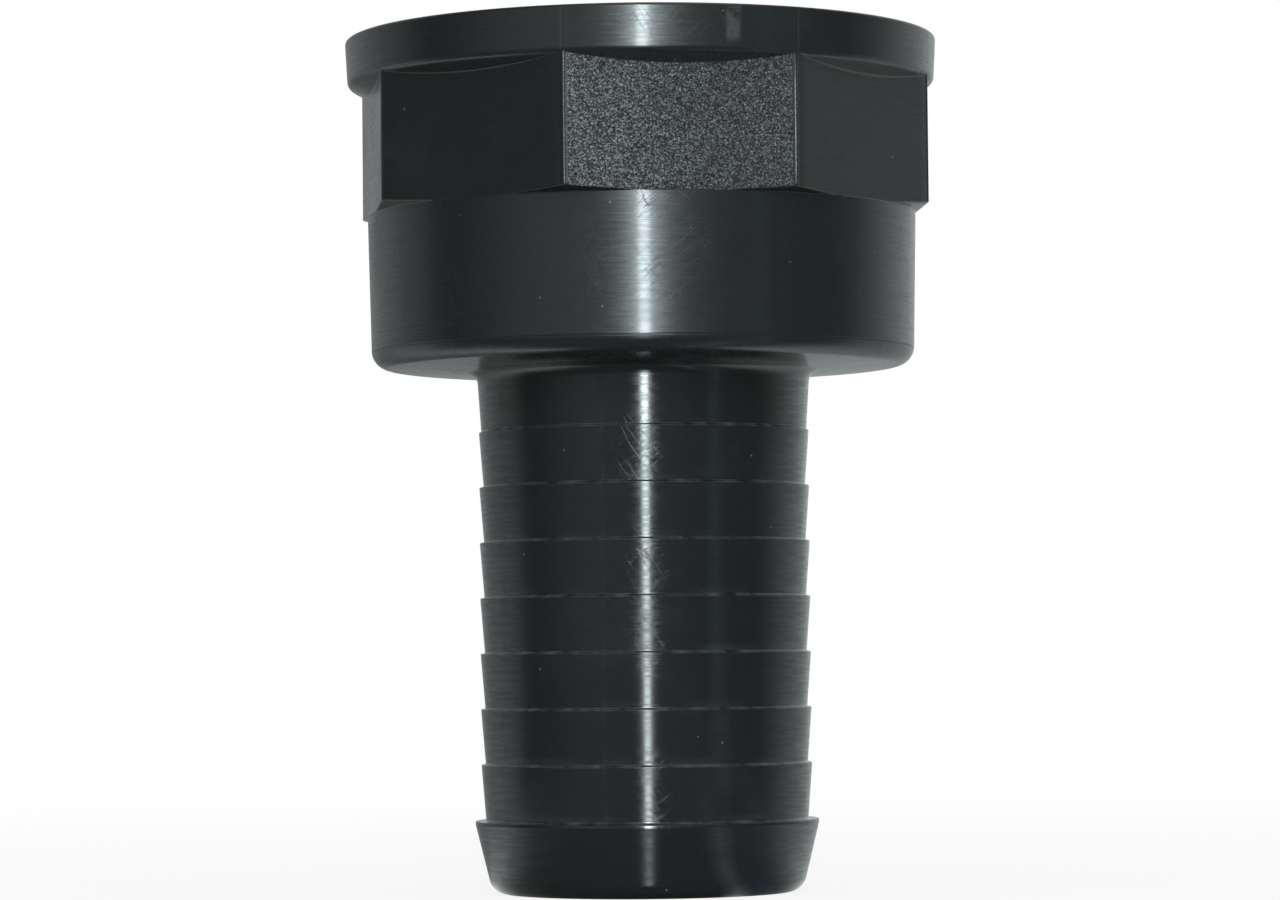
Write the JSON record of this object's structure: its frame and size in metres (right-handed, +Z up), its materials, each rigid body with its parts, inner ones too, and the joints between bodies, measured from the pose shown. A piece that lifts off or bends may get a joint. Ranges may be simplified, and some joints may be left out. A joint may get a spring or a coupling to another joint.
{
  "type": "hose tail connector",
  "caption": "One-piece plastic connector: a rimmed, internally threaded socket with wrench flats, above a barbed hose tail that ends in a larger, rounded barb.",
  "frame": {"origin": "centre of the tail's end face, on the surface that it stands on", "axes": "+Z up the axis to the socket's mouth; one wrench flat, the grained one, faces -Y"},
  "size_m": [0.0612, 0.0612, 0.088],
  "materials": {
    "black_plastic": "satin moulded polypropylene, one wrench flat with coarse spark-eroded grain"
  },
  "bodies": {
    "root": {"hose_tail_connector": "black_plastic"}
  },
  "joints": []
}
